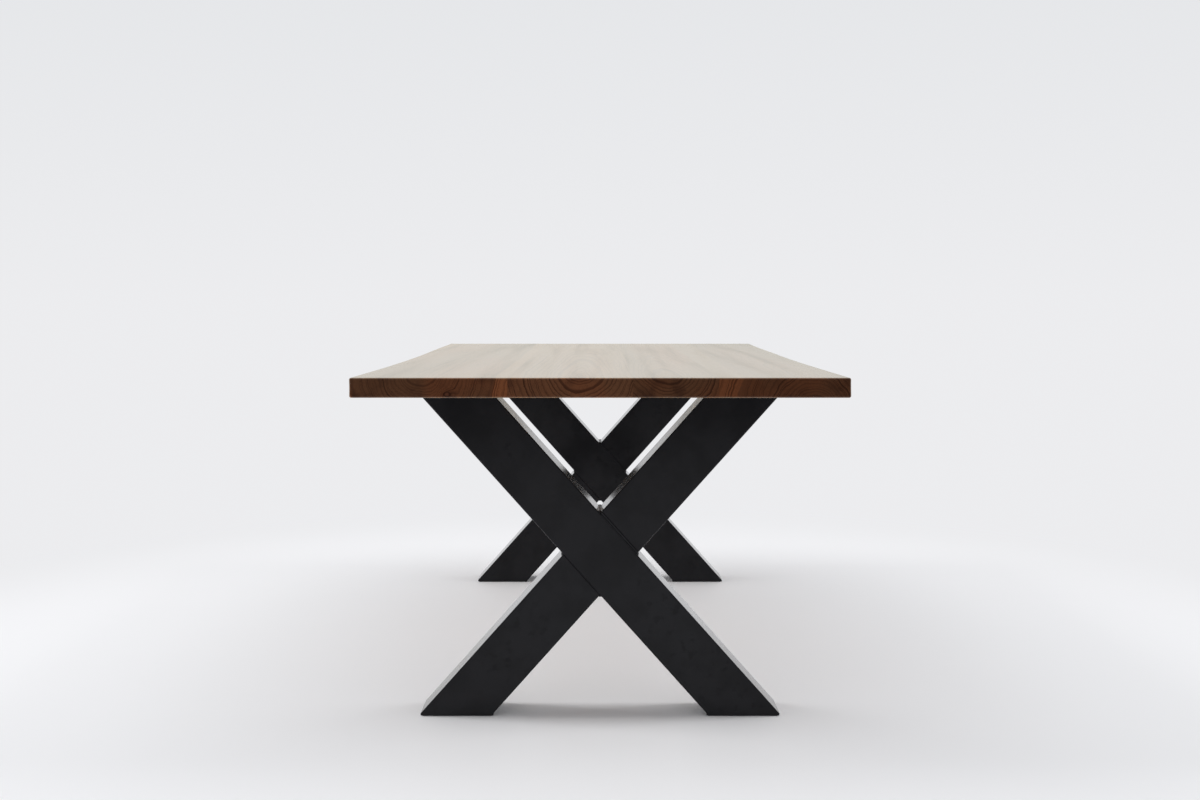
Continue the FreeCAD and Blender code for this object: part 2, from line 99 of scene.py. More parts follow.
# Soft lamps: place, size (level, upright), power in watts, and the point that each faces.
Lamp = namedtuple("Lamp", "name place size power target")
LAMPS = (
    Lamp("left_strip", (-5.8, 0.5, 4.8), (3.0, 2.4), 207.0, (0.0, 0.0, 0.0)),
    Lamp("right_strip", (5.8, 0.5, 4.8), (3.0, 2.4), 161.0, (0.0, 0.0, 0.0)),
    Lamp("overhead_softbox", (0.0, 1.0, 4.0), (4.5, 4.5), 20.0, (0.0, 1.0, 0.0)),
)

# Painted shade in reflections: a dark sheet behind the camera, which only reflections see; it casts no shadow
# and takes no light away.
SHADE_SHEET_PLACE = -7.5
SHADE_SHEET_HALF_WIDTH = 9.0
SHADE_SHEET_HEIGHT = 6.0
SHADE_SHEET_SOFT_EDGE = 5.0
REFLECTED_SHADE_COLOUR = (0.02, 0.02, 0.02, 1.0)

# Walnut, in linear colour.
EARLY_WOOD = (0.240, 0.136, 0.069, 1.0)
LATE_WOOD = (0.108, 0.053, 0.029, 1.0)
DARK_STREAK = (0.078, 0.041, 0.026, 1.0)
SAPWOOD = (0.340, 0.190, 0.095, 1.0)
KNOT_WOOD = (0.240, 0.115, 0.065, 1.0)
KNOT_RIM = (0.045, 0.020, 0.012, 1.0)
PORE = (0.026, 0.012, 0.007, 1.0)
RED_TINT = (1.26, 1.04, 0.94, 1.0)
RING_LINE = (0.022, 0.009, 0.006, 1.0)
END_TINT = (0.43, 0.33, 0.32, 1.0)
SAP_END_TINT = (0.63, 0.39, 0.32, 1.0)
HAZE_TINT = (0.95, 0.89, 0.56, 1.0)

# How each board was sawn: where the heart of the tree lies at the front end (across and up), how fast
# it climbs along the board, the width of a year's growth, the radius where the pale sapwood starts, a
# tone, the place of its pattern and its knots (place and half sizes).
Board = namedtuple("Board", "heart_across heart_up heart_rise ring_width sapwood_radius tone seed knots")
Knot = namedtuple("Knot", "place size")
BOARDS = {
    "board_left": Board(-0.352, 0.772, 0.024, 5.2 * MM, 0.146, 0.91, (0.0, 0.0, 0.0), (
        Knot((-0.304, -1.200, 0.727), (7 * MM, 40 * MM, 5 * MM)),
        Knot((-0.395, 0.310, 0.770), (9 * MM, 17 * MM, 30 * MM)),
    )),
    "board_centre_left": Board(-0.040, 0.786, 0.026, 8.0 * MM, 0.400, 1.10, (3.1, 7.7, 1.3), ()),
    "board_centre_right": Board(0.128, 0.795, 0.022, 7.0 * MM, 0.400, 0.86, (6.4, 2.9, 4.2), ()),
    "board_right": Board(0.416, 0.684, -0.018, 6.0 * MM, 0.158, 0.69, (9.2, 5.3, 8.6), (
        Knot((0.365, -0.520, 0.770), (8 * MM, 14 * MM, 30 * MM)),
    )),
}

# Sways of the growth rings: repeats per metre across, along and up, and how far the rings stray.
Sway = namedtuple("Sway", "repeats reach")
SWAYS = (
    Sway((5.0, 0.6, 5.0), 34 * MM),
    Sway((26.0, 2.2, 26.0), 14 * MM),
    Sway((150.0, 9.0, 150.0), 2.0 * MM),
)

# Narrow and wide years: how often they change in a year's growth, and by how many years they shift.
YEAR_CHANGES = 0.31
YEAR_SHIFT = 5.0

# What grows in the course of a year: how it rises and ends, how strong it is in the weakest year, and
# how much stronger it can be. The lines of the rings are weaker near the heart.
Growth = namedtuple("Growth", "rise ending least more")
LATE_GROWTH = Growth(Ramp(0.30, 0.96), Ramp(1.0, 0.97), 0.35, 0.55)
LINE_GROWTH = Growth(Ramp(0.60, 0.92), Ramp(1.0, 0.96), 0.2, 0.6)
HEART_LINES = Ramp(0.02, 0.09, 0.25, 1.0)

# Knots, by the distance from the middle in half sizes: how ragged they are, how far the rings swerve
# round them, and how their rim and their wood show.
KNOT_RAGGED_REPEATS = 90.0
KNOT_RAGGEDNESS = 0.9
KNOT_SWERVE = Ramp(4.0, 0.8, 0.0, 14 * MM)
KNOT_RIM_SHOWS = Ramp(1.8, 1.3, 0.0, 0.7)
KNOT_WOOD_SHOWS = Ramp(1.3, 0.8, 0.0, 0.8)

# Patterns of the wood.
PATCHES = Pattern((15.0, 0.9, 15.0), Ramp(0.35, 0.65, 0.50, 1.0))
STREAKS = Pattern((24.0, 0.8, 24.0), Ramp(0.46, 0.80, 0.0, 0.85), 4.0)
WARMTH = Pattern((7.0, 0.5, 7.0), Ramp(0.40, 0.65))
PORES = Pattern((620.0, 11.0, 620.0), Ramp(0.60, 0.72), 1.0)
FIBRES = Pattern((1400.0, 22.0, 1400.0), Ramp(0.25, 0.75, 0.0, 0.22), 1.0)

# Pores: how strong they are when a year starts, what they lose by its end, and how much they cover.
EARLY_PORES = 0.9
PORE_LOSS = 0.6
PORE_COVER = 0.7

# Sapwood: how far its edge reaches in and out, how much late wood shows in it, and how much it covers.
SAP_EDGE_IN = 2 * MM
SAP_EDGE_OUT = 3 * MM
SAP_LATE_WOOD = 0.55
SAP_COVER = 0.85

# A face is a cut end by how squarely it looks along the board.
CUT_END = Ramp(0.75, 0.95)

# The finish of the wood: lacquer with a warm haze, duller on pores and cut ends, and its relief.
WOOD_ROUGHNESS = 0.25
LATE_WOOD_GLOSS = 0.04
PORE_DULLNESS = 0.16
END_DULLNESS = 0.24
LACQUER = 1.0
END_LACQUER = 0.2
LACQUER_ROUGHNESS = 0.15
LACQUER_STREAKS = Ramp(0.35, 0.75, 1.0, 0.88)
HAZE = 0.33
HAZE_ROUGHNESS = 0.3
WOOD_RELIEF = 0.06 * MM
LATE_WOOD_RIDGE = 0.25

# Black powder coat: its colours, its patterns, its gloss and its relief.
PAINT_DARK = (0.0092, 0.0092, 0.0108, 1.0)
PAINT_LIGHT = (0.0132, 0.0132, 0.0154, 1.0)
PAINT_STAIN = (0.0052, 0.0052, 0.0066, 1.0)
PAINT_FLECK = (0.0180, 0.0180, 0.0195, 1.0)
PAINT_CLOUDS = Pattern(16.0, Ramp(0.34, 0.64), 5.0)
PAINT_STAINS = Pattern(52.0, Ramp(0.54, 0.70, 0.0, 0.7), 3.0)
PAINT_STAINED_PLACES = Pattern(6.0, Ramp(0.46, 0.62))
PAINT_GRAIN = Pattern(1500.0, Ramp(0.52, 0.80, 0.0, 0.5))
PAINT_PEEL_REPEATS = 420.0
PAINT_ROUGHNESS = 0.26
PAINT_CLOUD_DULLNESS = 0.06
PAINT_GRAIN_DULLNESS = 0.03
PAINT_SPECULAR = 0.07
PAINT_SKIN = 1.0
PAINT_SKIN_IOR = 1.19
PAINT_SKIN_ROUGHNESS = 0.15
PAINT_RELIEF = 0.006 * MM
PAINT_GRAIN_RIDGE = 0.35

# Pressed grey felt: its colours, its fibres along and across, its dullness and its relief.
FELT_DARK = (0.020, 0.020, 0.021, 1.0)
FELT_LIGHT = (0.085, 0.083, 0.080, 1.0)
FELT_FIBRES = (2600.0, 500.0, 2600.0)
FELT_CROSSING = (500.0, 2600.0, 2600.0)
FELT_DETAIL = 3.0
FELT_TONE = Ramp(0.45, 0.75)
FELT_ROUGHNESS = 0.85
FELT_TANGLE_DULLNESS = 0.1
FELT_SHEEN = 0.3
FELT_RELIEF = 0.35 * MM

# Plain metals: two tones, scratches per metre, roughness, and how metallic they are.
Metal = namedtuple("Metal", "dark light scratches roughness metallic")
BLACKED_STEEL = Metal((0.012, 0.012, 0.013, 1.0), (0.028, 0.028, 0.030, 1.0), 900.0, 0.38, 0.4)
ZINC = Metal((0.42, 0.43, 0.45, 1.0), (0.60, 0.61, 0.62, 1.0), 1300.0, 0.38, 1.0)
BRASS = Metal((0.50, 0.34, 0.12, 1.0), (0.66, 0.47, 0.19, 1.0), 1100.0, 0.32, 1.0)
METAL_STAINS = Pattern(160.0, Ramp(0.30, 0.70), 4.0)
SCRATCH_DULLNESS = 0.22
SCRATCH_RELIEF = 0.02 * MM

# Meshes: the angle where shading breaks, how near points are one point, and how level a line of them is.
SHARP_ANGLE = math.radians(40)
SAME_PLACE = 0.001 * MM
SAME_LEVEL = 0.01 * MM

# Live edges: the rounding of the arris, the natural hollows (depth, length and height, and how much
# shorter and weaker the fine ones are), the places of their patterns, and the mesh's steps.
ARRIS = 4 * MM
ARRIS_STEPS = 6
HOLLOW_DEPTH = 1.8 * MM
HOLLOW_LENGTH = 90 * MM
HOLLOW_HEIGHT = 26 * MM
FINE_HOLLOW_LENGTH = HOLLOW_LENGTH / 5
FINE_HOLLOW_SHARE = 0.12
HOLLOW_SEED = 10
FINE_HOLLOW_SEED = 20
BOARD_STEP = 8 * MM
EDGE_ROWS = 10
FACE_COLUMNS = 12

# Blind holes in the boards: wider and deeper than the threaded inserts.
HOLE_CLEARANCE = 0.1 * MM
HOLE_SPARE = 2 * MM

# Welds: ripples left by the torch, and beads that start and end with a share of their full size and
# reach a little into the corner.
RIPPLE_LENGTH = 5 * MM
RIPPLE_DEPTH = 0.45 * MM
RIPPLE_SWEEP = 4 * MM
BEAD_CROWN = 0.9 * MM
BEAD_TAPER = 4 * MM
BEAD_END_SHARE = 0.55
BEAD_ROOT_SHARE = 0.05
BEAD_STEP = 0.6 * MM
BEAD_POINTS = 9
CORNER_BEAD = 6 * MM
PLATE_BEAD = 5 * MM
SEAM_BEAD_WIDTH = 3.2 * MM
SEAM_BEAD_DEPTH = 1.1 * MM

# The tubes, and where those of a frame are: its middle along the table, the crossing's height, half of
# a tube's level cut, the slope of the tubes, half of their depth and the level of their upper ends.
TUBE_CORNER = 3 * MM
TUBE_CORNER_POINTS = 6
FrameSizes = namedtuple("FrameSizes", "middle crossing half_cut slope half_depth head")

# The welded ends of the half legs: distances along the tube from the joint, and how deep the surface
# lies there. The ends are eased, and on the upper legs a narrow groove is left along the ground weld.
EASED_END = ((0.0, 1.4 * MM), (1.4 * MM, 0.0))
GROOVED_END = EASED_END + ((5.2 * MM, 0.0), (6.1 * MM, 1.3 * MM), (7.0 * MM, 0.0))

# Button head bolts.
BOLT_RADIUS = 3.9 * MM
BOLT_CHAMFER = 1 * MM
HEAD_RIM = 1.0 * MM
HEAD_HEIGHT = 4.4 * MM
HEAD_FLAT_RADIUS = 4.5 * MM
DOME_STEPS = 6
SOCKET_WIDTH = 5 * MM
SOCKET_DEPTH = 2.6 * MM
SOCKET_SIDES = 6
ROUND_POINTS = 48

# Felt glides: rounded corners, a fuzzy outline, and how far the edge lies in at shares of the height.
GLIDE_CORNER = 3 * MM
GLIDE_CORNER_POINTS = 8
GLIDE_SIDE_POINTS = 28
GLIDE_FUZZ = 0.25 * MM
GLIDE_FUZZ_REPEATS = 900
GLIDE_EDGE = ((0.0, 0.9 * MM), (0.2, 0.25 * MM), (0.5, 0.0), (0.8, 0.2 * MM), (1.0, 0.6 * MM))


class Shader:
    """Builds the nodes of a material or of the surround."""

    def __init__(self, owner):
        owner.use_nodes = True
        self.owner = owner
        self.tree = owner.node_tree
        self.surface = self.tree.nodes.get("Principled BSDF")

    def feed(self, socket, value):
        """Links a socket to another one, or sets its value."""
        if isinstance(value, bpy.types.NodeSocket):
            self.tree.links.new(value, socket)
        else:
            socket.default_value = value

    def node(self, kind, inputs=(), **settings):
        """A node with its settings, and its inputs in order."""
        made = self.tree.nodes.new("ShaderNode" + kind)
        for name, value in settings.items():
            setattr(made, name, value)
        for socket, value in zip(made.inputs, inputs):
            self.feed(socket, value)
        return made

    def math(self, operation, *values):
        return self.node("Math", values, operation=operation).outputs[0]

    def vector(self, operation, *values):
        return self.node("VectorMath", values, operation=operation).outputs[0]

    def length(self, vector):
        return self.node("VectorMath", (vector,), operation="LENGTH").outputs["Value"]

    def parts(self, vector):
        """The three parts of a vector: across, along and up."""
        return self.node("SeparateXYZ", (vector,)).outputs

    def place(self):
        """The place on the object, in metres."""
        return self.node("TexCoord").outputs["Object"]

    def noise(self, place, repeats, detail=2.0, output="Fac"):
        """Noise with its repeats per metre: one number, or one for each axis."""
        if not isinstance(repeats, (int, float)):
            place = self.vector("MULTIPLY", place, repeats)
            repeats = 1.0
        made = self.node("TexNoise")
        self.feed(made.inputs["Vector"], place)
        made.inputs["Scale"].default_value = repeats
        made.inputs["Detail"].default_value = detail
        return made.outputs[output]

    def range(self, value, low, high, start=0.0, end=1.0):
        """Goes smoothly from start to end while the value goes from low to high."""
        made = self.node("MapRange", (value, low, high, start, end), interpolation_type="SMOOTHSTEP")
        return made.outputs["Result"]

    def pattern(self, place, pattern):
        """What the ramp of a pattern makes of its noise."""
        return self.range(self.noise(place, pattern.repeats, pattern.detail), *pattern.ramp)

    def mix(self, factor, first, second, blend="MIX"):
        """Mixes two colours."""
        made = self.node("Mix", data_type="RGBA", blend_type=blend)
        colours = [socket for socket in made.inputs if socket.type == "RGBA"]
        self.feed(made.inputs[0], factor)
        self.feed(colours[0], first)
        self.feed(colours[1], second)
        return next(socket for socket in made.outputs if socket.type == "RGBA")

    def bump(self, height, distance):
        """Raises the surface by a height times a distance."""
        made = self.node("Bump")
        self.feed(made.inputs["Height"], height)
        made.inputs["Distance"].default_value = distance
        made.inputs["Strength"].default_value = 1.0
        self.feed(self.surface.inputs["Normal"], made.outputs["Normal"])

    def set(self, **values):
        """Sets the inputs of the surface, whose names have underscores here."""
        for name, value in values.items():
            self.feed(self.surface.inputs[name.replace("_", " ")], value)

    def blend(self, share, first, second):
        """Shows one shader or the other, by a share from 0 to 1."""
        mixed = self.node("MixShader", (share, first, second)).outputs["Shader"]
        self.feed(self.tree.nodes["Material Output"].inputs["Surface"], mixed)


def ring_radius(shader, place, seeded, board):
    """The distance from the heart of the tree, in rings that sway along the board."""
    for sway in SWAYS:
        colour = shader.noise(seeded, sway.repeats, output="Color")
        centred = shader.vector("SUBTRACT", colour, (0.5, 0.5, 0.5))
        offset = shader.vector("MULTIPLY", centred, (sway.reach, 0.0, sway.reach))
        place = shader.vector("ADD", place, offset)
    across, along, up = shader.parts(place)
    front_level = board.heart_up - cad_box[0].y * board.heart_rise
    heart_level = shader.math("MULTIPLY_ADD", along, board.heart_rise, front_level)
    side_reach = shader.math("SUBTRACT", across, board.heart_across)
    up_reach = shader.math("SUBTRACT", up, heart_level)
    squares = shader.math("ADD", shader.math("POWER", side_reach, 2.0), shader.math("POWER", up_reach, 2.0))
    return shader.math("SQRT", squares)


def grown(shader, season, year_strength, growth):
    """How much of a growth there is at a time of the year, in a year of some strength."""
    shape = shader.math("MULTIPLY", shader.range(season, *growth.rise), shader.range(season, *growth.ending))
    strength = shader.math("MULTIPLY_ADD", year_strength, growth.more, growth.least)
    return shader.math("MULTIPLY", shape, strength)


def year_rings(shader, radius, ring_width):
    """The time of the year that the wood grew in, how much late wood it has and how dark its line is."""
    years = shader.math("DIVIDE", radius, ring_width)
    wander = shader.node("TexNoise", noise_dimensions="1D")
    shader.feed(wander.inputs["W"], shader.math("MULTIPLY", years, YEAR_CHANGES))
    wander.inputs["Scale"].default_value = 1.0
    years = shader.math("MULTIPLY_ADD", wander.outputs["Fac"], YEAR_SHIFT, years)
    season = shader.math("FRACT", years)
    year = shader.node("TexWhiteNoise", noise_dimensions="1D")
    shader.feed(year.inputs["W"], shader.math("FLOOR", years))
    late = grown(shader, season, year.outputs["Value"], LATE_GROWTH)
    line = grown(shader, season, year.outputs["Value"], LINE_GROWTH)
    return season, late, line


def knot_distance(shader, place, knot):
    """The distance from the middle of a knot in half sizes, made uneven so that the knot is ragged."""
    offset = shader.vector("SUBTRACT", place, knot.place)
    reach = shader.length(shader.vector("DIVIDE", offset, knot.size))
    return shader.math("MULTIPLY_ADD", shader.noise(place, KNOT_RAGGED_REPEATS), KNOT_RAGGEDNESS, reach)


def heartwood(shader, seeded, late, streaks):
    """The colour of early and late wood, with broad streaks along the grain and slow changes of tone."""
    colour = shader.mix(late, EARLY_WOOD, LATE_WOOD)
    colour = shader.mix(shader.range(streaks, *STREAKS.ramp), colour, DARK_STREAK)
    tinted = shader.mix(1.0, colour, RED_TINT, "MULTIPLY")
    return shader.mix(shader.pattern(seeded, WARMTH), colour, tinted)


def with_sapwood(shader, colour, sap, late):
    """Lays pale sapwood over a colour, where sap is 1."""
    pale = shader.mix(shader.math("MULTIPLY", late, SAP_LATE_WOOD), SAPWOOD, EARLY_WOOD)
    return shader.mix(shader.math("MULTIPLY", sap, SAP_COVER), colour, pale)


def with_pores(shader, colour, seeded, pores):
    """Draws pores and fibres: short dark lines along the grain, and dots on the ends."""
    colour = shader.mix(shader.math("MULTIPLY", pores, PORE_COVER), colour, PORE)
    return shader.mix(shader.pattern(seeded, FIBRES), colour, LATE_WOOD)


def with_knots(shader, colour, knots):
    """Draws knots, which have a dark rim."""
    for distance in knots:
        colour = shader.mix(shader.range(distance, *KNOT_RIM_SHOWS), colour, KNOT_RIM)
        colour = shader.mix(shader.range(distance, *KNOT_WOOD_SHOWS), colour, KNOT_WOOD)
    return colour


def with_cut_ends(shader, colour, end, line, sap):
    """Darkens the cut ends, which drink the lacquer, and draws the rings there in thin lines."""
    colour = shader.mix(shader.math("MULTIPLY", end, line), colour, RING_LINE)
    end_tint = shader.mix(sap, END_TINT, SAP_END_TINT)
    return shader.mix(end, colour, shader.mix(1.0, colour, end_tint, "MULTIPLY"))


def lacquer_wood(shader, late, pores, end, streaks):
    """Lacquer with a warm haze, which is duller on pores and cut ends, over a fine relief."""
    rough = shader.math("MULTIPLY_ADD", late, -LATE_WOOD_GLOSS, WOOD_ROUGHNESS)
    rough = shader.math("MULTIPLY_ADD", pores, PORE_DULLNESS, rough)
    rough = shader.math("MULTIPLY_ADD", end, END_DULLNESS, rough)
    lacquer = shader.range(end, 0.0, 1.0, LACQUER, END_LACQUER)
    lacquer = shader.math("MULTIPLY", lacquer, shader.range(streaks, *LACQUER_STREAKS))
    shader.set(Roughness=rough, Specular_IOR_Level=0.0)
    shader.set(Coat_Weight=lacquer, Coat_Roughness=LACQUER_ROUGHNESS)
    shader.set(Sheen_Weight=HAZE, Sheen_Roughness=HAZE_ROUGHNESS, Sheen_Tint=HAZE_TINT)
    ridges = shader.math("MULTIPLY", late, LATE_WOOD_RIDGE)
    shader.bump(shader.math("SUBTRACT", ridges, pores), WOOD_RELIEF)


def wood(name, board):
    """Walnut as a solid: growth rings round the heart of the tree, cut by every face of the board."""
    shader = Shader(bpy.data.materials.new(name))
    place = shader.place()
    seeded = shader.vector("ADD", place, board.seed)
    radius = ring_radius(shader, place, seeded, board)
    knots = [knot_distance(shader, place, knot) for knot in board.knots]
    for distance in knots:
        radius = shader.math("ADD", radius, shader.range(distance, *KNOT_SWERVE))
    season, late, line = year_rings(shader, radius, board.ring_width)
    line = shader.math("MULTIPLY", line, shader.range(radius, *HEART_LINES))
    late = shader.math("MULTIPLY", late, shader.pattern(seeded, PATCHES))
    streaks = shader.noise(seeded, STREAKS.repeats, STREAKS.detail)
    sap = shader.range(radius, board.sapwood_radius - SAP_EDGE_IN, board.sapwood_radius + SAP_EDGE_OUT)
    pore_strength = shader.math("MULTIPLY_ADD", season, -PORE_LOSS, EARLY_PORES)
    pores = shader.math("MULTIPLY", shader.pattern(seeded, PORES), pore_strength)
    normal = shader.node("NewGeometry").outputs["Normal"]
    end = shader.range(shader.math("ABSOLUTE", shader.parts(normal)["Y"]), *CUT_END)

    colour = heartwood(shader, seeded, late, streaks)
    colour = with_sapwood(shader, colour, sap, late)
    colour = with_pores(shader, colour, seeded, pores)
    colour = with_knots(shader, colour, knots)
    colour = with_cut_ends(shader, colour, end, line, sap)
    colour = shader.mix(1.0, colour, (board.tone, board.tone, board.tone, 1.0), "MULTIPLY")
    shader.set(Base_Color=colour)
    lacquer_wood(shader, late, pores, end, streaks)
    return shader.owner


def powder_coat(name):
    """Black powder coat: fine peel, and stains that leave its tone and its gloss uneven."""
    shader = Shader(bpy.data.materials.new(name))
    place = shader.place()
    clouds = shader.noise(place, PAINT_CLOUDS.repeats, PAINT_CLOUDS.detail)
    grain = shader.noise(place, PAINT_GRAIN.repeats, PAINT_GRAIN.detail)
    peel = shader.noise(place, PAINT_PEEL_REPEATS)
    stained = shader.pattern(place, PAINT_STAINED_PLACES)
    stains = shader.math("MULTIPLY", stained, shader.pattern(place, PAINT_STAINS))
    colour = shader.mix(shader.range(clouds, *PAINT_CLOUDS.ramp), PAINT_DARK, PAINT_LIGHT)
    colour = shader.mix(stains, colour, PAINT_STAIN)
    colour = shader.mix(shader.range(grain, *PAINT_GRAIN.ramp), colour, PAINT_FLECK)
    rough = shader.math("MULTIPLY_ADD", clouds, PAINT_CLOUD_DULLNESS, PAINT_ROUGHNESS)
    rough = shader.math("MULTIPLY_ADD", grain, PAINT_GRAIN_DULLNESS, rough)
    shader.set(Base_Color=colour, Roughness=rough, Specular_IOR_Level=PAINT_SPECULAR)
    shader.set(Coat_Weight=PAINT_SKIN, Coat_IOR=PAINT_SKIN_IOR, Coat_Roughness=PAINT_SKIN_ROUGHNESS)
    shader.bump(shader.math("MULTIPLY_ADD", grain, PAINT_GRAIN_RIDGE, peel), PAINT_RELIEF)
    return shader.owner


def felt(name):
    """Pressed grey felt with short crossing fibres."""
    shader = Shader(bpy.data.materials.new(name))
    place = shader.place()
    fibres = shader.noise(place, FELT_FIBRES, FELT_DETAIL)
    crossing = shader.noise(place, FELT_CROSSING, FELT_DETAIL)
    tangle = shader.math("MAXIMUM", fibres, crossing)
    colour = shader.mix(shader.range(tangle, *FELT_TONE), FELT_DARK, FELT_LIGHT)
    rough = shader.math("MULTIPLY_ADD", tangle, FELT_TANGLE_DULLNESS, FELT_ROUGHNESS)
    shader.set(Base_Color=colour, Roughness=rough, Sheen_Weight=FELT_SHEEN)
    shader.bump(tangle, FELT_RELIEF)
    return shader.owner


def metal(name, kind):
    """A plain metal with fine scratches and stains."""
    shader = Shader(bpy.data.materials.new(name))
    place = shader.place()
    scratches = shader.noise(place, kind.scratches)
    colour = shader.mix(shader.pattern(place, METAL_STAINS), kind.dark, kind.light)
    rough = shader.math("MULTIPLY_ADD", scratches, SCRATCH_DULLNESS, kind.roughness - SCRATCH_DULLNESS / 2)
    shader.set(Base_Color=colour, Roughness=rough, Metallic=kind.metallic)
    shader.bump(scratches, SCRATCH_RELIEF)
    return shader.owner


def seen_light(shader):
    """1 for what the camera and reflections see, and less for the light that is sent out."""
    path = shader.node("LightPath")
    seen = path.outputs["Is Camera Ray"]
    for name in ("Is Glossy Ray", "Is Transmission Ray"):
        seen = shader.math("MAXIMUM", seen, path.outputs[name])
    return shader.node("MapRange", (seen, 0.0, 1.0, SURROUND_LIGHT, 1.0)).outputs["Result"]


def add_surround():
    """A pale surround that darkens a little upwards."""
    world = bpy.data.worlds.new("surround")
    bpy.context.scene.world = world
    shader = Shader(world)
    direction = shader.node("TexCoord").outputs["Generated"]
    ramp = shader.node("ValToRGB", (shader.parts(direction)["Z"],))
    ramp.color_ramp.elements[0].color = HORIZON_COLOUR
    ramp.color_ramp.elements[1].color = SKY_COLOUR
    ramp.color_ramp.elements[1].position = SKY_RISE
    background = shader.tree.nodes["Background"]
    shader.feed(background.inputs["Color"], ramp.outputs["Color"])
    shader.feed(background.inputs["Strength"], seen_light(shader))


def add_mesh(name, mesh):
    """An object of a mesh, in the scene."""
    data = bpy.data.meshes.new(name)
    mesh.to_mesh(data)
    mesh.free()
    made = bpy.data.objects.new(name, data)
    bpy.context.scene.collection.objects.link(made)
    return made


def add_staged(name, mesh, material):
    """An object of the studio."""
    staged = add_mesh(name, mesh)
    staged.data.materials.append(material)
    return staged


def add_floor():
    """A pale floor that takes shadows and fades into the surround far from the table."""
    shader = Shader(bpy.data.materials.new("studio_floor"))
    place = shader.place()
    colour = shader.mix(shader.pattern(place, FLOOR_SMUDGES), FLOOR_COLOUR, FLOOR_SMUDGE)
    shader.set(Base_Color=colour, Roughness=FLOOR_ROUGHNESS, Specular_IOR_Level=FLOOR_SPECULAR)
    glow = shader.node("Emission", (HORIZON_COLOUR, seen_light(shader)))
    shaped = shader.vector("MULTIPLY", shader.vector("SUBTRACT", place, FADE_CENTRE), FADE_SHAPE)
    fade = shader.range(shader.length(shaped), *FADE)
    shader.blend(fade, shader.surface.outputs["BSDF"], glow.outputs["Emission"])
    mesh = bmesh.new()
    bmesh.ops.create_circle(mesh, cap_ends=True, segments=FLOOR_POINTS, radius=FLOOR_RADIUS)
    add_staged("floor", mesh, shader.owner)


def add_reflected_shade():
    """Painted shade in reflections: a dark sheet behind the camera, with soft edges, which only reflections
    see. It casts no shadow and takes no light away.
    """
    shader = Shader(bpy.data.materials.new("painted_reflection_shade"))
    # Painted shade: the near-black sheet darkens what the glossy surfaces reflect of the camera side.
    shader.set(Base_Color=REFLECTED_SHADE_COLOUR, Roughness=1.0, Specular_IOR_Level=0.0)
    across, _, up = shader.parts(shader.place())
    side = shader.range(
        shader.math("ABSOLUTE", across), SHADE_SHEET_HALF_WIDTH, SHADE_SHEET_HALF_WIDTH - SHADE_SHEET_SOFT_EDGE)
    top = shader.range(up, SHADE_SHEET_HEIGHT, SHADE_SHEET_HEIGHT - SHADE_SHEET_SOFT_EDGE)
    clear = shader.node("BsdfTransparent").outputs["BSDF"]
    shader.blend(shader.math("MULTIPLY", side, top), clear, shader.surface.outputs["BSDF"])
    mesh = bmesh.new()
    corners = []
    for sign, level in ((-1, 0), (1, 0), (1, 1), (-1, 1)):
        corners.append(mesh.verts.new((sign * SHADE_SHEET_HALF_WIDTH, SHADE_SHEET_PLACE, level * SHADE_SHEET_HEIGHT)))
    mesh.faces.new(corners)
    shade_sheet = add_staged("reflected_shade_sheet", mesh, shader.owner)
    # Hidden from the camera, from diffuse light and from shadows, so it darkens only reflections.
    shade_sheet.visible_camera = False
    shade_sheet.visible_diffuse = False
    shade_sheet.visible_shadow = False


def add_lamps():
    """Large soft lamps that neither the camera nor reflections see."""
    for lamp in LAMPS:
        data = bpy.data.lights.new(lamp.name, "AREA")
        data.shape = "RECTANGLE"
        data.size, data.size_y = lamp.size
        data.energy = lamp.power
        light = bpy.data.objects.new(lamp.name, data)
        light.location = lamp.place
        facing = Vector(lamp.target) - Vector(lamp.place)
        light.rotation_euler = facing.to_track_quat("-Z", "Y").to_euler()
        light.visible_camera = False
        light.visible_glossy = False
        bpy.context.scene.collection.objects.link(light)


def add_camera():
    """The photograph's view."""
    data = bpy.data.cameras.new("camera")
    data.sensor_fit = "HORIZONTAL"
    data.sensor_width = SENSOR_MM
    data.lens = LENS_MM
    camera = bpy.data.objects.new("camera", data)
    camera.location = (0.0, cad_box[0].y - CAMERA_DISTANCE, CAMERA_HEIGHT)
    camera.rotation_euler = (math.pi / 2 - CAMERA_TILT, 0.0, 0.0)
    bpy.context.scene.collection.objects.link(camera)
    bpy.context.scene.camera = camera


def loft(mesh, rings):
    """Adds a skin through rings of points, closed by a face on the first and on the last."""
    rows = [[mesh.verts.new(point) for point in ring] for ring in rings]
    for row, following in zip(rows, rows[1:]):
        for index in range(len(row)):
            neighbour = (index + 1) % len(row)
            mesh.faces.new((row[index], row[neighbour], following[neighbour], following[index]))
    mesh.faces.new(rows[0])
    mesh.faces.new(rows[-1])


def add_solid(name, mesh):
    """An object of a closed mesh, whose faces are turned outwards."""
    bmesh.ops.recalc_face_normals(mesh, faces=mesh.faces)
    return add_mesh(name, mesh)


def cut_out(piece, mesh):
    """Cuts a closed mesh out of a piece."""
    tool = add_solid(piece.name + "_tool", mesh)
    cut = piece.modifiers.new("cut", "BOOLEAN")
    cut.object = tool
    cut.operation = "DIFFERENCE"
    cut.solver = "EXACT"
    graph = bpy.context.evaluated_depsgraph_get()
    whole = piece.data
    piece.data = bpy.data.meshes.new_from_object(piece.evaluated_get(graph))
    piece.modifiers.remove(cut)
    bpy.data.objects.remove(tool)
    bpy.data.meshes.remove(whole)


def finish_piece(piece, material, replaced=()):
    """Gives a piece its shading and its finish, and puts it in place of CAD nodes."""
    piece.data.polygons.foreach_set("use_smooth", [True] * len(piece.data.polygons))
    piece.data.set_sharp_from_angle(angle=SHARP_ANGLE)
    piece.data.materials.clear()
    piece.data.materials.append(material)
    weighted = piece.modifiers.new("even_faces", "WEIGHTED_NORMAL")
    weighted.keep_sharp = True
    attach(piece, BODY)
    if replaced:
        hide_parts(*replaced)


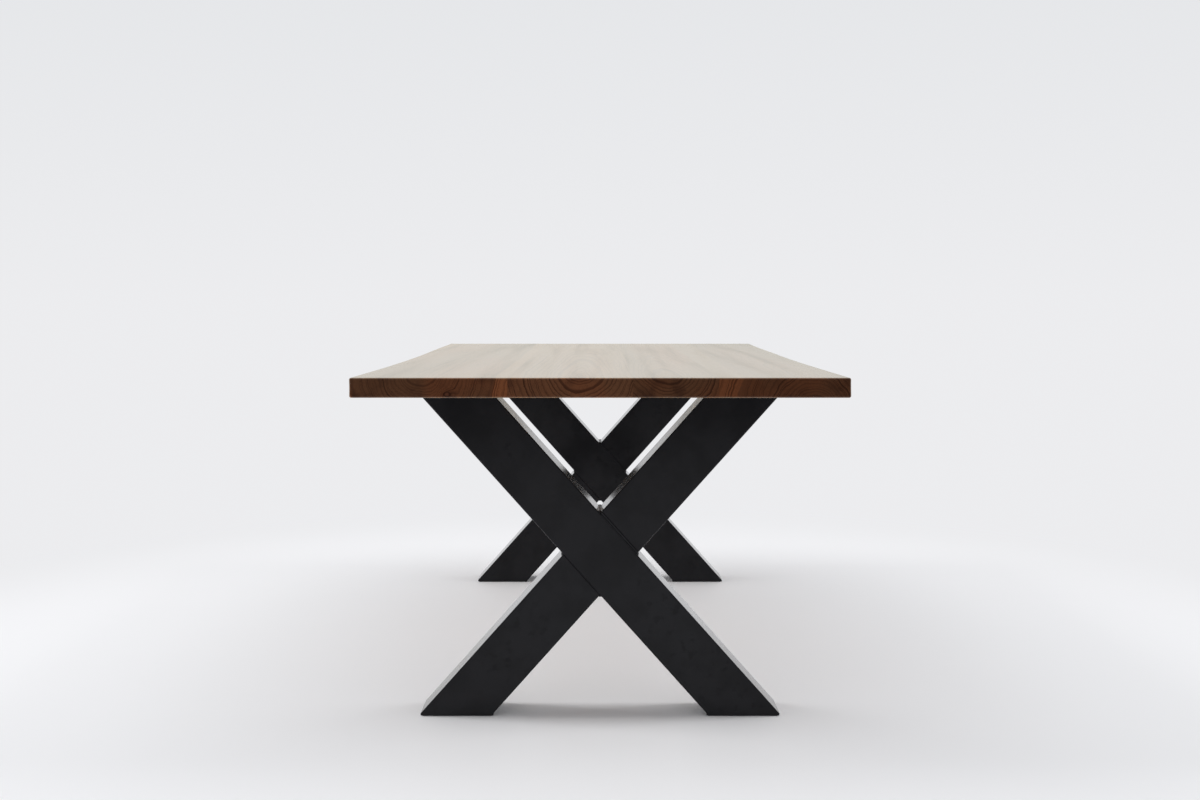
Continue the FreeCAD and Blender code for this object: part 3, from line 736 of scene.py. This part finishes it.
def solid_boxes(node):
    """The lowest and the highest corner of each separate solid of a CAD node."""
    mesh = bmesh.new()
    mesh.from_mesh(nodes[node].data)
    bmesh.ops.remove_doubles(mesh, verts=mesh.verts, dist=SAME_PLACE)
    waiting = set(mesh.verts)
    boxes = []
    while waiting:
        # The list of one solid's points grows with the neighbours of each point in it.
        found = [waiting.pop()]
        for vertex in found:
            near = {edge.other_vert(vertex) for edge in vertex.link_edges} & waiting
            waiting -= near
            found.extend(near)
        places = np.array([vertex.co for vertex in found])
        boxes.append((Vector(places.min(axis=0)), Vector(places.max(axis=0))))
    mesh.free()
    return sorted(boxes, key=lambda box: tuple(box[0]))


def circle(centre, radius, up):
    """Points round a circle, at a height."""
    points = []
    for index in range(ROUND_POINTS):
        angle = 2 * math.pi * index / ROUND_POINTS
        points.append((centre.x + radius * math.cos(angle), centre.y + radius * math.sin(angle), up))
    return points


def hexagon(centre, width, up):
    """As many points round a hexagon, at a height."""
    sector = 2 * math.pi / SOCKET_SIDES
    points = []
    for index in range(ROUND_POINTS):
        angle = 2 * math.pi * index / ROUND_POINTS
        reach = width / 2 / math.cos((angle + sector / 2) % sector - sector / 2)
        points.append((centre.x + reach * math.cos(angle), centre.y + reach * math.sin(angle), up))
    return points


def live_edge(node, sign):
    """The plan of a live edge, read from the frame: places along it and how far out it is there."""
    low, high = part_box(node)
    places = np.array([vertex.co for vertex in nodes[node].data.vertices])
    straight = np.abs(places[:, 1]) < high.y - ARRIS
    outer = sign * places[:, 0] > max(sign * low.x, sign * high.x) - (high.x - low.x) / 2
    level = np.abs(places[:, 2] - (high.z - ARRIS)) < SAME_LEVEL
    edge = places[straight & outer & level]
    edge = edge[np.argsort(edge[:, 1])]
    return edge[:, 1], edge[:, 0]


def hollow(along, up, sign):
    """How deep the natural hollows are at a place on the left (-1) or the right (1) live edge."""
    broad = Vector((along / HOLLOW_LENGTH, up / HOLLOW_HEIGHT, HOLLOW_SEED * sign))
    fine = Vector((along / FINE_HOLLOW_LENGTH, up / HOLLOW_HEIGHT, FINE_HOLLOW_SEED * sign))
    return HOLLOW_DEPTH * (0.5 + 0.5 * noise.noise(broad) + FINE_HOLLOW_SHARE * noise.noise(fine))


def live_board_ring(along, seam, edge, sign, low, high, shrink):
    """One section of an outer board, from the glue line round the live edge and back."""
    bottom = low + shrink
    top = high - shrink

    def outer(up):
        return edge - sign * (shrink + hollow(along, up, sign))

    def arc(start, middle_up):
        middle = outer(middle_up) - sign * ARRIS
        points = []
        for step in range(ARRIS_STEPS + 1):
            angle = start + step / ARRIS_STEPS * math.pi / 2
            points.append((middle + sign * ARRIS * math.cos(angle), middle_up + ARRIS * math.sin(angle)))
        return points

    lower = arc(-math.pi / 2, bottom + ARRIS)
    upper = arc(0.0, top - ARRIS)
    rows = np.linspace(bottom + ARRIS, top - ARRIS, EDGE_ROWS + 1)[1:-1]
    side = [(outer(up), up) for up in rows]
    under = [(across, bottom) for across in np.linspace(seam, lower[0][0], FACE_COLUMNS + 1)[:-1]]
    over = [(across, top) for across in np.linspace(upper[-1][0], seam, FACE_COLUMNS + 1)[1:]]
    return [(across, along, up) for across, up in under + lower + side + upper + over]


def insert_holes(low, high):
    """The blind holes for the threaded inserts of the board between two corners."""
    mesh = bmesh.new()
    for name in FRAMES:
        for insert_low, insert_high in solid_boxes(name + "_threaded_inserts"):
            centre = (insert_low + insert_high) / 2
            if low.x < centre.x < high.x:
                radius = (insert_high.x - insert_low.x) / 2 + HOLE_CLEARANCE
                levels = (low.z - HOLE_SPARE, insert_high.z + HOLE_SPARE)
                loft(mesh, [circle(centre, radius, level) for level in levels])
    return mesh


def add_live_board(node, name, sign, material):
    """An outer board with the small hollows of a natural edge and eased arrises."""
    low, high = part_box(node)
    seam = low.x if sign > 0 else high.x
    places, reach = live_edge(node, sign)
    count = round((high.y - low.y - 2 * ARRIS) / BOARD_STEP)
    stations = [(along, 0.0) for along in np.linspace(low.y + ARRIS, high.y - ARRIS, count + 1)]
    for step in range(1, ARRIS_STEPS + 1):
        angle = step / ARRIS_STEPS * math.pi / 2
        shrink = ARRIS * (1 - math.cos(angle))
        past = ARRIS * math.sin(angle)
        stations.insert(0, (low.y + ARRIS - past, shrink))
        stations.append((high.y - ARRIS + past, shrink))
    rings = []
    for along, shrink in stations:
        edge = float(np.interp(along, places, reach))
        rings.append(live_board_ring(along, seam, edge, sign, low.z, high.z, shrink))
    mesh = bmesh.new()
    loft(mesh, rings)
    board = add_solid(name, mesh)
    cut_out(board, insert_holes(low, high))
    finish_piece(board, material, [node])


def add_bead(mesh, start, end, first, second, leg):
    """A rippled weld along a corner. First and second point along the two faces that it joins."""
    start, end, first, second = (Vector(item) for item in (start, end, first, second))
    length = (end - start).length
    outwards = (first + second).normalized()
    count = max(2, round(length / BEAD_STEP))
    rings = []
    for index in range(count + 1):
        along = length * index / count
        corner = start.lerp(end, index / count)
        from_end = min(along, length - along) / BEAD_TAPER
        size = leg * min(1.0, BEAD_END_SHARE + (1 - BEAD_END_SHARE) * from_end)
        ring = [corner - outwards * leg * BEAD_ROOT_SHARE]
        for point in range(BEAD_POINTS):
            share = point / (BEAD_POINTS - 1)
            hump = 4 * share * (1 - share)
            phase = (along + RIPPLE_SWEEP * hump) / RIPPLE_LENGTH
            ripple = RIPPLE_DEPTH * (phase - math.floor(phase)) ** 2
            rise = hump * (BEAD_CROWN - ripple) * leg / CORNER_BEAD
            ring.append(corner + size * ((1 - share) * first + share * second) + outwards * rise)
        rings.append(ring)
    loft(mesh, rings)


def frame_sizes(name):
    """Reads the sizes of a frame from its nodes."""
    leg_low, leg_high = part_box(name + "_main_leg")
    foot_low, foot_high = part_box(name + "_right_foot_plate")
    # The foot lies as far to the right as the upper end lies to the left, so twice its place is the run.
    run = foot_low.x + foot_high.x
    return FrameSizes(
        middle=(leg_low.y + leg_high.y) / 2,
        crossing=(leg_low.z + leg_high.z) / 2,
        half_cut=(foot_high.x - foot_low.x) / 2,
        slope=math.atan2(leg_high.z - leg_low.z, run),
        half_depth=(leg_high.y - leg_low.y) / 2,
        head=leg_high.z,
    )


def tube_section(half_width, half_depth, inset):
    """Places across and through a tube, round its outside."""
    middles = ((1, 1), (-1, 1), (-1, -1), (1, -1))
    points = []
    for quarter, (side, face) in enumerate(middles):
        for step in range(TUBE_CORNER_POINTS + 1):
            angle = (quarter + step / TUBE_CORNER_POINTS) * math.pi / 2
            points.append((
                side * (half_width - TUBE_CORNER) + (TUBE_CORNER - inset) * math.cos(angle),
                face * (half_depth - TUBE_CORNER) + (TUBE_CORNER - inset) * math.sin(angle)))
    return points


def add_half_leg(name, leg, sign, welded_end, material):
    """A half tube of an X, from the side of the main leg up to the right (1) or down to the left (-1)."""
    sizes = frame_sizes(name)
    cosine, sine = math.cos(sizes.slope), math.sin(sizes.slope)
    half_width = sizes.half_cut * sine
    rise = sizes.head - sizes.crossing

    def place(along, across, depth):
        return (
            sign * (along * cosine - across * sine),
            sizes.middle + depth,
            sizes.crossing + sign * (along * sine + across * cosine))

    # The tubes cross at twice their slope, and that slants the joint.
    rings = []
    for distance, inset in welded_end:
        section = tube_section(half_width, sizes.half_depth, inset)
        ring = []
        for across, depth in section:
            joint = (half_width - across * math.cos(2 * sizes.slope)) / math.sin(2 * sizes.slope)
            ring.append(place(joint + distance, across, depth))
        rings.append(ring)
    section = tube_section(half_width, sizes.half_depth, 0.0)
    rings.append([place((rise - across * cosine) / sine, across, depth) for across, depth in section])
    mesh = bmesh.new()
    loft(mesh, rings)
    finish_piece(add_solid(leg + "_tube", mesh), material, [leg])


def add_frame_welds(name, material):
    """Welds in the four corners of an X, and in the grooves of its two butt joints."""
    sizes = frame_sizes(name)
    cosine, sine = math.cos(sizes.slope), math.sin(sizes.slope)
    drop = sizes.half_cut * math.tan(sizes.slope)
    half_length = sizes.half_depth - TUBE_CORNER
    inset_across, inset_up = TUBE_CORNER * cosine, TUBE_CORNER * sine
    mesh = bmesh.new()
    for sign in (1, -1):
        corners = (
            ((0.0, sign * drop), (cosine, sign * sine), (-cosine, sign * sine)),
            ((sign * sizes.half_cut, 0.0), (sign * cosine, sine), (sign * cosine, -sine)),
        )
        for (across, up), first, second in corners:
            add_bead(
                mesh,
                (across, sizes.middle - half_length, sizes.crossing + up),
                (across, sizes.middle + half_length, sizes.crossing + up),
                (first[0], 0.0, first[1]), (second[0], 0.0, second[1]), CORNER_BEAD)
        for face in (1, -1):
            depth = sizes.middle + face * (sizes.half_depth - SEAM_BEAD_DEPTH)
            start = Vector((sign * inset_across, depth, sizes.crossing + sign * (drop - inset_up)))
            end = Vector((sign * (sizes.half_cut - inset_across), depth, sizes.crossing + sign * inset_up))
            into = Vector((-sign * sine, 0.0, -sign * cosine)) * (SEAM_BEAD_WIDTH / CORNER_BEAD)
            outwards = Vector((0.0, face, 0.0)) * (SEAM_BEAD_DEPTH / CORNER_BEAD)
            add_bead(mesh, start, end, into, outwards, CORNER_BEAD)
    finish_piece(add_solid(name + "_welds", mesh), material, [name + "_weld_beads"])


def add_plate_welds(name, material):
    """Welds round the upper ends of the tubes, under the top plate."""
    sizes = frame_sizes(name)
    leg_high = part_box(name + "_main_leg")[1]
    cosine, sine = math.cos(sizes.slope), math.sin(sizes.slope)
    near, far = sizes.middle - sizes.half_depth, sizes.middle + sizes.half_depth
    mesh = bmesh.new()
    for sign in (1, -1):
        outer = sign * leg_high.x
        inner = sign * (leg_high.x - 2 * sizes.half_cut)
        down = (-sign * cosine, 0.0, -sine)
        for along, face in ((near, -1), (far, 1)):
            add_bead(mesh, (outer, along, sizes.head), (inner, along, sizes.head),
                     (0.0, face, 0.0), (0.0, 0.0, -1.0), PLATE_BEAD)
        for across, facing in ((outer, sign), (inner, -sign)):
            add_bead(mesh, (across, near, sizes.head), (across, far, sizes.head),
                     (facing, 0.0, 0.0), down, PLATE_BEAD)
    finish_piece(add_solid(name + "_plate_welds", mesh), material)


def add_bolts(name, material):
    """Button head bolts, heads down, with a domed head and a hexagon socket."""
    mesh = bmesh.new()
    for low, high in solid_boxes(name + "_bolts"):
        centre = (low + high) / 2
        head_radius = (high.x - low.x) / 2
        seat = low.z + HEAD_HEIGHT
        rings = [
            circle(centre, BOLT_RADIUS - BOLT_CHAMFER, high.z),
            circle(centre, BOLT_RADIUS, high.z - BOLT_CHAMFER),
            circle(centre, BOLT_RADIUS, seat),
            circle(centre, head_radius, seat),
        ]
        for step in range(DOME_STEPS + 1):
            angle = step / DOME_STEPS * math.pi / 2
            radius = HEAD_FLAT_RADIUS + (head_radius - HEAD_FLAT_RADIUS) * math.cos(angle)
            rings.append(circle(centre, radius, seat - HEAD_RIM - (HEAD_HEIGHT - HEAD_RIM) * math.sin(angle)))
        rings.append(hexagon(centre, SOCKET_WIDTH, low.z))
        rings.append(hexagon(centre, SOCKET_WIDTH, low.z + SOCKET_DEPTH))
        loft(mesh, rings)
    finish_piece(add_solid(name + "_button_bolts", mesh), material, [name + "_bolts"])


def glide_outline(low, high, inset, level):
    """A rounded rectangle with a fuzzy edge, at a level."""
    points = []
    corners = ((high.x, high.y, 0), (low.x, high.y, 1), (low.x, low.y, 2), (high.x, low.y, 3))
    for across, along, quarter in corners:
        middle = Vector((
            across - math.copysign(GLIDE_CORNER, across - (low.x + high.x) / 2),
            along - math.copysign(GLIDE_CORNER, along - (low.y + high.y) / 2), 0.0))
        for step in range(GLIDE_CORNER_POINTS + 1):
            angle = (quarter + step / GLIDE_CORNER_POINTS) * math.pi / 2
            points.append(middle + Vector((math.cos(angle), math.sin(angle), 0.0)) * (GLIDE_CORNER - inset))
    outline = []
    for start, end in zip(points, points[1:] + points[:1]):
        steps = GLIDE_SIDE_POINTS if (end - start).length > 2 * GLIDE_CORNER else 1
        outline.extend(start.lerp(end, step / steps) for step in range(steps))
    centre = sum(outline, Vector()) / len(outline)
    rise = Vector((0.0, 0.0, level))
    fuzzy = []
    for place in outline:
        fuzz = GLIDE_FUZZ * (noise.noise((place + rise) * GLIDE_FUZZ_REPEATS) - 1) / 2
        fuzzy.append(place + (place - centre).normalized() * fuzz + rise)
    return fuzzy


def add_glide(name, material):
    """A pressed felt pad with soft edges under a foot."""
    low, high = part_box(name)
    mesh = bmesh.new()
    loft(mesh, [
        glide_outline(low, high, inset, low.z + share * (high.z - low.z)) for share, inset in GLIDE_EDGE])
    finish_piece(add_solid(name + "_felt", mesh), material, [name])


def dress(material, *names):
    """Gives CAD nodes their finish."""
    for name in names:
        nodes[name].material_slots[0].material = material


def add_top():
    """The four boards, of which the outer two get finer live edges."""
    woods = {name: wood(name + "_walnut", board) for name, board in BOARDS.items()}
    for name, material in woods.items():
        dress(material, name)
    add_live_board("board_left", "left_live_board", -1, woods["board_left"])
    add_live_board("board_right", "right_live_board", 1, woods["board_right"])


def add_frames():
    """The two X frames with their welds, plates, bolts and glides."""
    paint = powder_coat("black_powder_coat")
    pad = felt("grey_felt")
    blacked = metal("blacked_steel", BLACKED_STEEL)
    zinc = metal("zinc_plate", ZINC)
    brass = metal("brass", BRASS)
    for name in FRAMES:
        dress(paint, name + "_main_leg", name + "_top_plate")
        add_half_leg(name, name + "_upper_leg", 1, GROOVED_END, paint)
        add_half_leg(name, name + "_lower_leg", -1, EASED_END, paint)
        dress(zinc, name + "_washers")
        dress(brass, name + "_threaded_inserts")
        add_frame_welds(name, paint)
        add_plate_welds(name, paint)
        add_bolts(name, blacked)
        for side in SIDES:
            dress(paint, name + "_" + side + "_foot_plate")
            add_glide(name + "_" + side + "_glide", pad)


def main():
    add_top()
    add_frames()

    add_surround()
    add_floor()
    add_reflected_shade()
    add_lamps()
    add_camera()
    bpy.context.scene.view_settings.view_transform = "Standard"


main()
